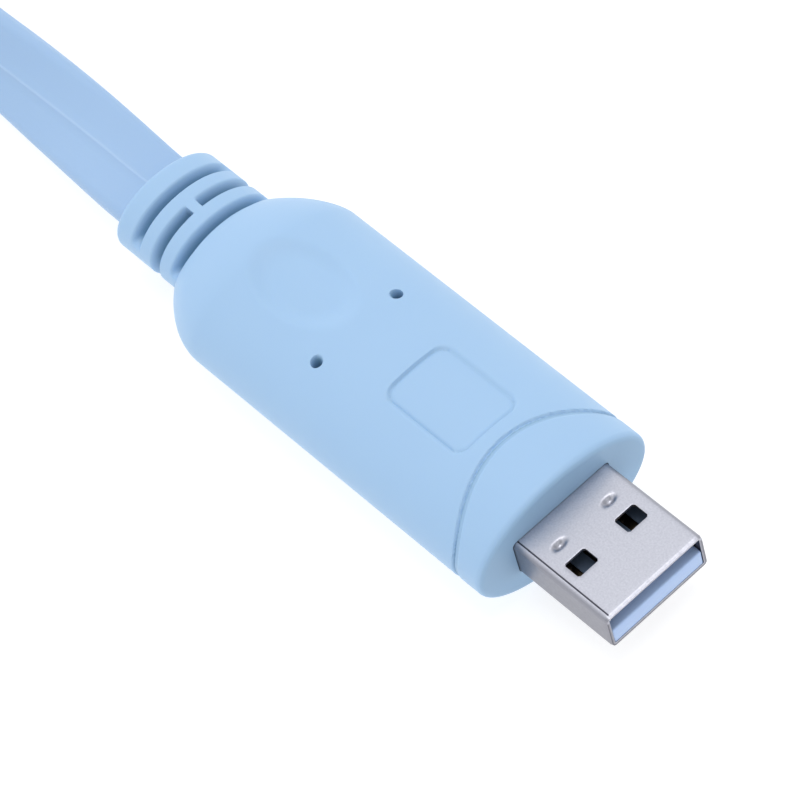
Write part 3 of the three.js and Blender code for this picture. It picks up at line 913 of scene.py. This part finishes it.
def add_shell():
    outline = shell_outline()
    stations = shell_stations()
    vertices = []
    for x in stations:
        lip = 0.1 * smoothstep(TIP_X - 0.35, TIP_X, x)
        for (y, z), normal in outline:
            sink = lip
            if normal == (0, 1):
                sink += dimple(x, y)
                if abs(y - SEAM_Y) < 0.01 and x < TIP_X - 0.3:
                    sink += SEAM_DEPTH
            vertices.append((x, y - normal[0] * sink, AXIS_Z + z - normal[1] * sink))
    sides = len(outline)
    faces = []
    for i in range(len(stations) - 1):
        for j in range(sides):
            k = (j + 1) % sides
            x = (stations[i] + stations[i + 1]) / 2
            y = (outline[j][0][0] + outline[k][0][0]) / 2
            a, b = i * sides, (i + 1) * sides
            corners = [a + j, a + k, b + k, b + j]
            flat = min(abs(outline[j][0][1]), abs(outline[k][0][1])) > SHELL_HEIGHT / 2 - 0.01
            part = window_part(x, y) if flat else None
            if part == 0:
                continue
            if part:
                reach = {n: vertices[n][0] * part[0] + vertices[n][1] * part[1] for n in corners}
                corners.remove(min(corners, key=reach.get))
            faces.append(tuple(corners))
    shell = make_object("usb_plug_shell", vertices, faces, NICKEL, "nickel_shell", ("usb_shell",))
    work = bmesh.new()
    work.from_mesh(shell.data)
    bmesh.ops.delete(work, geom=[v for v in work.verts if not v.link_faces], context="VERTS")
    bmesh.ops.recalc_face_normals(work, faces=work.faces)
    work.to_mesh(shell.data)
    work.free()
    modifier = shell.modifiers.new("wall", "SOLIDIFY")
    modifier.thickness = SHELL_WALL * MM
    modifier.offset = -1
    modifier.use_even_offset = True
    apply_modifiers(shell)
    bevel(shell, 0.05, 2, 50)
    auto_smooth(shell, 45)
    # Painted shade on the lower part of the shell's front rim.
    rim_x, rim_top = TIP_X - 0.03, AXIS_Z + 1.6
    set_attribute(shell, "painted_shade_and_highlight", lambda x, y, z: RIM_PAINTED_SHADE if x > rim_x and z < rim_top else 0.0)


def rounded_bar(name, size, centre, radius, material, slot, nodes, segments=3):
    low = [c - s / 2 for c, s in zip(centre, size)]
    high = [c + s / 2 for c, s in zip(centre, size)]
    vertices, faces = block_data(low, high)
    bar = make_object(name, vertices, faces, material, slot, nodes)
    bevel(bar, radius, segments)
    auto_smooth(bar, 40)
    return bar


def slice_at(obj, x):
    """Adds a loop of edges round obj at one place along X."""
    work = bmesh.new()
    work.from_mesh(obj.data)
    geometry = [*work.verts, *work.edges, *work.faces]
    bmesh.ops.bisect_plane(work, geom=geometry, plane_co=(x * MM, 0, 0), plane_no=(1, 0, 0))
    work.to_mesh(obj.data)
    work.free()


def add_tongue():
    width = SHELL_WIDTH - 2 * SHELL_WALL - 0.2
    bottom = AXIS_Z - SHELL_HEIGHT / 2 + SHELL_WALL
    rear = FRONT_X - SHELL_HIDDEN
    front = TIP_X - TONGUE_SETBACK
    top = bottom + TONGUE_THICKNESS
    size = (front - rear, width, TONGUE_THICKNESS)
    centre = ((front + rear) / 2, 0, bottom + TONGUE_THICKNESS / 2)
    nodes = ("usb_tongue",)
    tongue = rounded_bar("usb_insulator", size, centre, 0.18, TONGUE_BLUE, "blue_insulator", nodes)
    for index, (y, setback) in enumerate(zip(CONTACT_YS, CONTACT_SETBACKS)):
        end = front - setback
        half = CONTACT_WIDTH / 2
        low, high = (rear - 1, y - half, top - CONTACT_THICKNESS), (end, y + half, top + 1)
        cutter = loose_mesh("slot", *block_data(low, high))
        cut(tongue, cutter)
        rounded_bar(
            f"usb_contact_strip_{index + 1}",
            (end - rear - 0.04, CONTACT_WIDTH - 0.04, CONTACT_THICKNESS),
            ((end + rear) / 2, y, top - CONTACT_THICKNESS / 2),
            0.08,
            SHADED_GOLD,
            "gold_contacts",
            (f"usb_contact_{index + 1}",),
        )
    auto_smooth(tongue, 40)
    # Painted shade: the insulator grows darker deeper inside the shell; the two slices give the change
    # its own edges.
    dark_x, light_x = TIP_X - 4.3, TIP_X - 1.5
    for edge_x in (light_x - 0.1, dark_x + 0.1):
        slice_at(tongue, edge_x)
    set_attribute(tongue, "painted_shade_and_highlight", lambda x, y, z: INSIDE_PAINTED_SHADE * (1 - smoothstep(dark_x, light_x, x)))


# The strap round the hank
def add_tie():
    mean_radius = OUTER_TURN_RADIUS - TURN_PITCH * HANK_TURNS / 2 - TURN_PITCH * 0.07
    half_bundle = TURN_PITCH * (HANK_TURNS - 1) / 2 + CABLE_THICKNESS / 2 + 0.3
    centre_y = HANK_Y - mean_radius
    inner_height = CABLE_WIDTH + 0.25
    inner = rounded_outline(2 * half_bundle, inner_height, 0.9, 6)
    top = inner_height + 2 * TIE_THICKNESS
    outer = rounded_outline(2 * (half_bundle + TIE_THICKNESS), top, 1.4, 6)
    vertices = []
    for x in (-TIE_HALF_WIDTH, TIE_HALF_WIDTH):
        for y, z in (*outer, *inner):
            vertices.append((TIE_X + x, centre_y + y, top / 2 + z))
    n = len(outer)
    faces = []
    for j in range(n):
        k = (j + 1) % n
        faces.append((j, k, 2 * n + k, 2 * n + j))
        faces.append((n + k, n + j, 3 * n + j, 3 * n + k))
        faces.append((k, j, n + j, n + k))
        faces.append((2 * n + j, 2 * n + k, 3 * n + k, 3 * n + j))
    loop = make_object("hank_strap", vertices, faces, STRAP, "dark_strap", ("hank_tie",))
    bevel(loop, 0.25, 2, 60)
    auto_smooth(loop, 50)
    rounded_bar(
        "hank_strap_end",
        (2 * TIE_HALF_WIDTH - 1.2, 9.0, 0.8),
        (TIE_X, centre_y + 1.5, top + 0.38),
        0.3,
        STRAP,
        "dark_strap",
        (),
    )


# The clear modular plug; local X runs from its rear to its nose, which points along -X
def plug_place(x, y, z):
    return (PLUG_REAR_X - x, HANK_Y - y, z)


def prism(outline, half_width):
    """Faces of a side outline (x, z) drawn out across the plug."""
    n = len(outline)
    vertices = [plug_place(x, -half_width, z) for x, z in outline]
    vertices += [plug_place(x, half_width, z) for x, z in outline]
    faces = [tuple(range(n)), tuple(reversed(range(n, 2 * n)))]
    for j in range(n):
        k = (j + 1) % n
        faces.append((k, j, n + j, n + k))
    return vertices, faces


def fix_normals(obj):
    work = bmesh.new()
    work.from_mesh(obj.data)
    bmesh.ops.recalc_face_normals(work, faces=work.faces)
    work.to_mesh(obj.data)
    work.free()


def add_plug():
    side = [
        (0, 0),
        (PLUG_LENGTH - 0.8, 0),
        (PLUG_LENGTH, 0.8),
        (PLUG_LENGTH, 5.7),
        (PLUG_LENGTH - 8.5, 5.7),
        (PLUG_LENGTH - 9.4, PLUG_HEIGHT),
        (0, PLUG_HEIGHT),
    ]
    shape = prism(side, PLUG_WIDTH / 2)
    body = make_object("modular_plug", *shape, CLEAR, "clear_plastic", ("rj45_plug",))
    fix_normals(body)
    bevel(body, 0.22, 3)
    low, high = ENTRY_HEIGHT - ENTRY_HALF_HEIGHT, ENTRY_HEIGHT + ENTRY_HALF_HEIGHT
    opening = [(-1, low), (ENTRY_DEPTH, low), (ENTRY_DEPTH, high), (-1, high)]
    entry = loose_mesh("entry", *prism(opening, ENTRY_HALF_WIDTH))
    fix_normals(entry)
    cut(body, entry)
    for index in range(BLADE_COUNT):
        y = (index - (BLADE_COUNT - 1) / 2) * BLADE_PITCH
        low = plug_place(PLUG_LENGTH + 1, y + 0.3, -1)
        high = plug_place(PLUG_LENGTH - 6.2, y - 0.3, 1.7)
        slot = loose_mesh("slot", *block_data(low, high))
        fix_normals(slot)
        cut(body, slot)
        add_blade(index, y)
    auto_smooth(body, 35)
    add_latch()


def add_blade(index, y):
    outline = [
        (PLUG_LENGTH - 5.95, 0.3),
        (PLUG_LENGTH - 1.7, 0.3),
        (PLUG_LENGTH - 1.2, 0.5),
        (PLUG_LENGTH - 1.05, 0.95),
        (PLUG_LENGTH - 1.05, 1.62),
        (PLUG_LENGTH - 5.95, 1.62),
    ]
    vertices, faces = prism(outline, 0.17)
    vertices = [(x, v - y, z) for x, v, z in vertices]
    name, nodes = f"modular_contact_{index + 1}", (f"rj45_contact_{index + 1}",)
    blade = make_object(name, vertices, faces, GOLD, "gold_contacts", nodes)
    fix_normals(blade)
    bevel(blade, 0.05, 2)
    auto_smooth(blade, 40)


def add_latch():
    """The lever: thick at its root near the nose, rising and narrowing towards its tip."""
    stations = [
        (PLUG_LENGTH - 1.7, 5.55, 1.0, 3.1),
        (PLUG_LENGTH - 2.6, 5.75, 1.15, 3.1),
        (PLUG_LENGTH - 4.0, 6.1, 1.05, 3.1),
        (PLUG_LENGTH - 6.0, 6.55, 1.0, 3.1),
        (PLUG_LENGTH - 8.6, 7.05, 1.0, 3.1),
        (PLUG_LENGTH - 9.4, 7.2, 1.0, 3.1),
        (PLUG_LENGTH - 9.9, 7.28, 1.0, 1.65),
        (PLUG_LENGTH - 13.0, 7.75, 1.0, 1.65),
        (PLUG_LENGTH - 16.2, 8.1, 1.0, 1.65),
    ]
    rings = []
    for x, z, thickness, half in stations:
        corners = rounded_outline(2 * half, thickness, 0.28, 3)
        rings.append([plug_place(x, y, z + thickness / 2 + v) for y, v in corners])
    vertices = [v for ring in rings for v in ring]
    faces = ring_faces(len(rings), len(rings[0]))
    latch = make_object("modular_latch", vertices, faces, CLEAR, "clear_plastic")
    fix_normals(latch)
    auto_smooth(latch, 40)


WIRE_COLOURS = [
    (0.03, 0.12, 0.5),
    (0.75, 0.22, 0.02),
    (0.012, 0.012, 0.014),
    (0.55, 0.02, 0.02),
    (0.03, 0.3, 0.06),
    (0.8, 0.6, 0.03),
    (0.16, 0.07, 0.03),
    (0.7, 0.7, 0.7),
]


def add_wires():
    """The eight conductors, from the cut end of the cable to their blades."""
    for index, colour in enumerate(WIRE_COLOURS):
        y = (index - (BLADE_COUNT - 1) / 2) * BLADE_PITCH
        line = [(6.6, y * 1.02, ENTRY_HEIGHT), (9.0, y, 3.1), (12.0, y, 2.35)]
        line += [(15.5, y, 2.3), (19.6, y, 2.3)]
        rings = []
        for x, v, z in line:
            ring = []
            for j in range(12):
                angle = 2 * math.pi * j / 12
                beside, above = WIRE_RADIUS * math.cos(angle), WIRE_RADIUS * math.sin(angle)
                ring.append(plug_place(x, v + beside, z + above))
            rings.append(ring)
        vertices = [v for ring in rings for v in ring]
        material = wire_plastic(f"wire_{index + 1}", colour)
        faces = ring_faces(len(rings), 12)
        wire = make_object(f"conductor_{index + 1}", vertices, faces, material, "blue_cable")
        fix_normals(wire)


def add_floor():
    """A white sweep that glows a little, as a light table does, so that shadows stay faint."""
    material, tree, shader = new_material("floor", (0.42, 0.42, 0.42), 0.8)
    paper = mix_colours(tree, noise(tree, 3), (0.43, 0.43, 0.43), (0.41, 0.41, 0.41))
    tree.links.new(paper, shader.inputs["Base Color"])
    shader.inputs["Emission Color"].default_value = (1.0, 1.0, 1.0, 1)
    shader.inputs["Emission Strength"].default_value = 0.72
    mesh = bpy.data.meshes.new("floor")
    reach = 3.0
    corners = [(-reach, -reach), (reach, -reach), (reach, reach), (-reach, reach)]
    mesh.from_pydata([(x, y, FLOOR_Z) for x, y in corners], [], [(0, 1, 2, 3)])
    mesh.materials.append(material)
    floor = bpy.data.objects.new("floor", mesh)
    bpy.context.scene.collection.objects.link(floor)


def add_area_light(name, place, aim, size, power, colour=(1, 1, 1)):
    data = bpy.data.lights.new(name, "AREA")
    data.shape = "RECTANGLE"
    data.size, data.size_y = size
    data.energy = power
    data.color = colour
    light = bpy.data.objects.new(name, data)
    bpy.context.scene.collection.objects.link(light)
    light.location = place
    light.rotation_euler = (Vector(aim) - Vector(place)).to_track_quat("-Z", "Y").to_euler()


def add_world():
    """An even white studio, a little darker beyond the plug's tip."""
    world = bpy.data.worlds.new("studio")
    world.use_nodes = True
    tree = world.node_tree
    coordinates = tree.nodes.new("ShaderNodeTexCoord")
    facing = tree.nodes.new("ShaderNodeVectorMath")
    facing.operation = "DOT_PRODUCT"
    facing.inputs[1].default_value = (-0.85, 0.05, 0.5)
    level = tree.nodes.new("ShaderNodeMapRange")
    level.inputs["From Min"].default_value = -1.0
    level.inputs["From Max"].default_value = 1.0
    level.inputs["To Min"].default_value = 0.3
    level.inputs["To Max"].default_value = 1.12
    background = tree.nodes["Background"]
    background.inputs["Color"].default_value = (0.96, 0.975, 1.0, 1)
    tree.links.new(coordinates.outputs["Generated"], facing.inputs[0])
    tree.links.new(facing.outputs["Value"], level.inputs["Value"])
    tree.links.new(level.outputs["Result"], background.inputs["Strength"])
    bpy.context.scene.world = world


def add_lights():
    add_area_light("top_softbox", (0.0, 0.1, 0.9), (0, 0, 0), (0.5, 0.5), 1.75)
    add_area_light("rim_strip", (0.62, 0.22, 0.42), (0, 0, 0), (0.4, 0.14), 0.2)
    bpy.context.scene.view_settings.view_transform = "Standard"
    bpy.context.scene.view_settings.look = "None"


add_camera()
cable, cable_line = add_cable()
add_tie()
add_plug()
add_wires()
add_housing()
add_shell()
add_tongue()
add_floor()
add_world()
add_lights()
